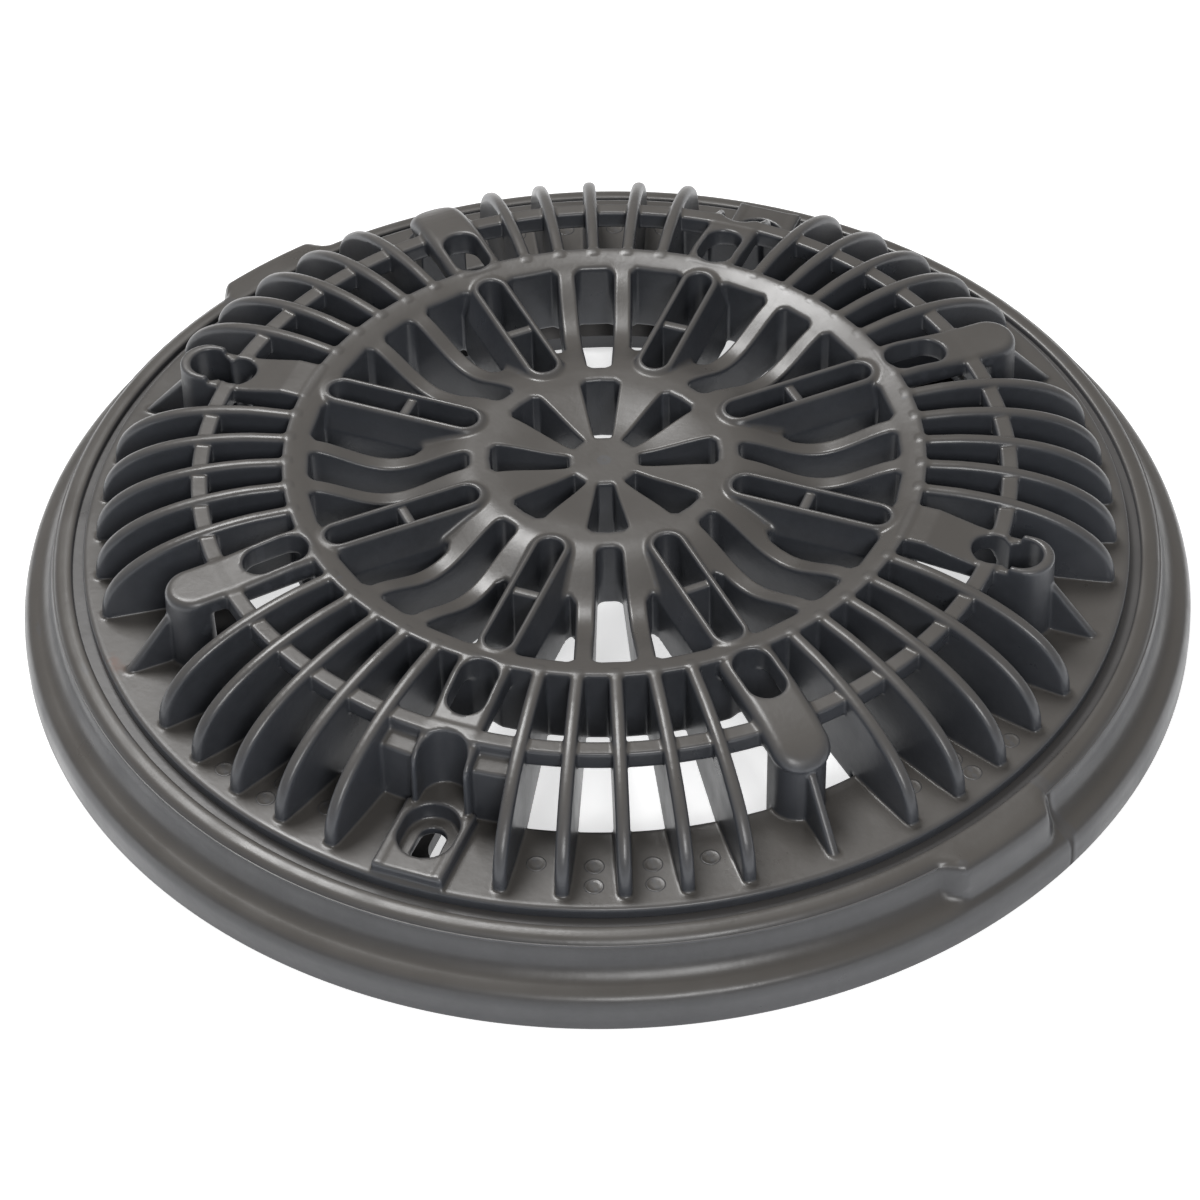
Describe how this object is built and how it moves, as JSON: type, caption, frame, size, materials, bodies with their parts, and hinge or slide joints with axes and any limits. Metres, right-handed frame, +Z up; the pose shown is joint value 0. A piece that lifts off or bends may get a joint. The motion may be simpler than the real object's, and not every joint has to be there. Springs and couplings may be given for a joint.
{
  "type": "domed main drain cover with frame ring",
  "caption": "Round domed drain cover with curved side ribs and a star-shaped grille, seated in a flanged frame ring and held by screws in deep wells.",
  "frame": {"origin": "centre of the frame's flat underside", "axes": "+Z up along the axis of the dome; +X towards one slotted screw hole of the cover; +Y towards one deep screw well"},
  "size_m": [0.2892, 0.2892, 0.045],
  "materials": {
    "cover_plastic": "semi-gloss moulded dark grey",
    "frame_plastic": "semi-gloss moulded dark grey",
    "insert_brass": "turned",
    "screw_steel": "satin stainless"
  },
  "bodies": {
    "frame": {"frame_rim": "frame_plastic", "frame_brim": "frame_plastic", "frame_ledge": "frame_plastic", "frame_wall": "frame_plastic", "frame_base": "frame_plastic", "frame_lugs": "frame_plastic", "screw_pillars": "frame_plastic", "screw_inserts": "insert_brass"},
    "cover": {"cover_flange": "cover_plastic", "slot_hole_pads": "cover_plastic", "side_ribs_1": "cover_plastic", "side_ribs_2": "cover_plastic", "side_ribs_3": "cover_plastic", "side_ribs_4": "cover_plastic", "side_ribs_5": "cover_plastic", "side_ribs_6": "cover_plastic", "side_ribs_7": "cover_plastic", "side_ribs_8": "cover_plastic", "tie_hoop": "cover_plastic", "top_ring": "cover_plastic", "valley_spokes": "cover_plastic", "inner_ring": "cover_plastic", "hub_spokes": "cover_plastic", "hub_disc": "cover_plastic", "long_cups": "cover_plastic", "screw_well_bosses": "cover_plastic", "blank_bosses": "cover_plastic", "slot_bosses": "cover_plastic", "round_bosses": "cover_plastic", "boss_buttresses": "cover_plastic"},
    "screw_a": {"screw_a": "screw_steel"},
    "screw_b": {"screw_b": "screw_steel"}
  },
  "joints": [
    {"name": "cover_lift", "type": "slide", "parent": "frame", "child": "cover", "axis": [0, 0, 1], "range_m": [0, 0.08]},
    {"name": "screw_a_lift", "type": "slide", "parent": "cover", "child": "screw_a", "axis": [0, 0, 1], "range_m": [0, 0.045]},
    {"name": "screw_b_lift", "type": "slide", "parent": "cover", "child": "screw_b", "axis": [0, 0, 1], "range_m": [0, 0.045]}
  ]
}
